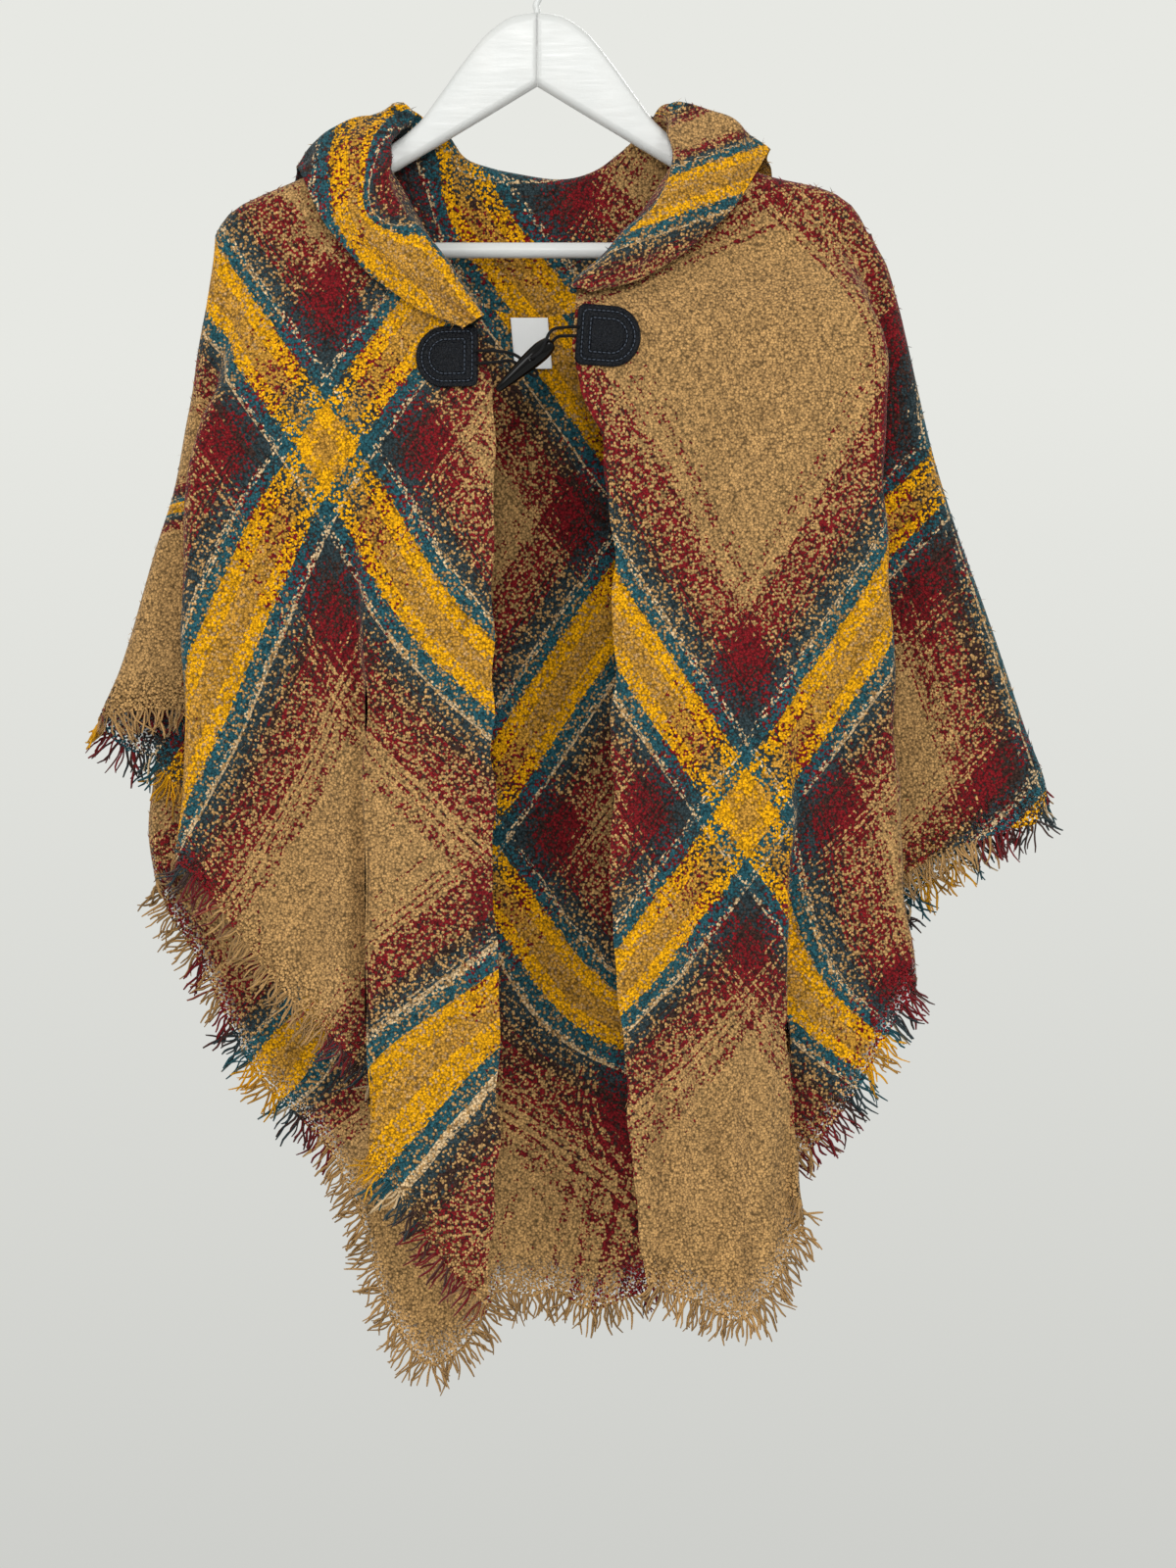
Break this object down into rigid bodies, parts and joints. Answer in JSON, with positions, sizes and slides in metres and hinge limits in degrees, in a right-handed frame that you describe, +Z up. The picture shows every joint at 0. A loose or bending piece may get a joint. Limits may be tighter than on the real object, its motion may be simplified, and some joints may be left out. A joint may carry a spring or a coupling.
{
  "type": "hooded poncho on a hanger",
  "caption": "Hooded plaid poncho of loose woven cloth, open in front with a horn toggle on leather patches and fringed hems, hanging on a white wooden hanger.",
  "frame": {"origin": "bearing point inside the hanger's hook, where it hangs on a rail", "axes": "+Z up, -Y the front of the garment, +X the wearer's left"},
  "size_m": [0.6575, 0.1925, 1.0142],
  "materials": {
    "plaid_cloth": "loose boucle weave",
    "fringe_yarn": "frayed yarn",
    "leather": "pebbled",
    "elastic_cord": "round braid",
    "horn": "polished",
    "label_tape": "satin tape",
    "white_wood": "white paint, satin",
    "white_wire": "white, satin"
  },
  "bodies": {
    "root": {"back": "plaid_cloth", "front_left": "plaid_cloth", "front_right": "plaid_cloth", "hood": "plaid_cloth", "fringe_back_flap": "fringe_yarn", "fringe_back_main": "fringe_yarn", "fringe_back_under": "fringe_yarn", "fringe_left_flap": "fringe_yarn", "fringe_left_inner": "fringe_yarn", "fringe_left_main": "fringe_yarn", "fringe_left_under": "fringe_yarn", "fringe_right_flap": "fringe_yarn", "fringe_right_inner": "fringe_yarn", "fringe_right_main": "fringe_yarn", "fringe_right_under": "fringe_yarn", "patch_left": "leather", "patch_right": "leather", "loop_cord": "elastic_cord", "stem_cord": "elastic_cord", "toggle": "horn", "care_label": "label_tape", "arm_left": "white_wood", "arm_right": "white_wood", "bar": "white_wood", "hook": "white_wire"}
  },
  "joints": []
}
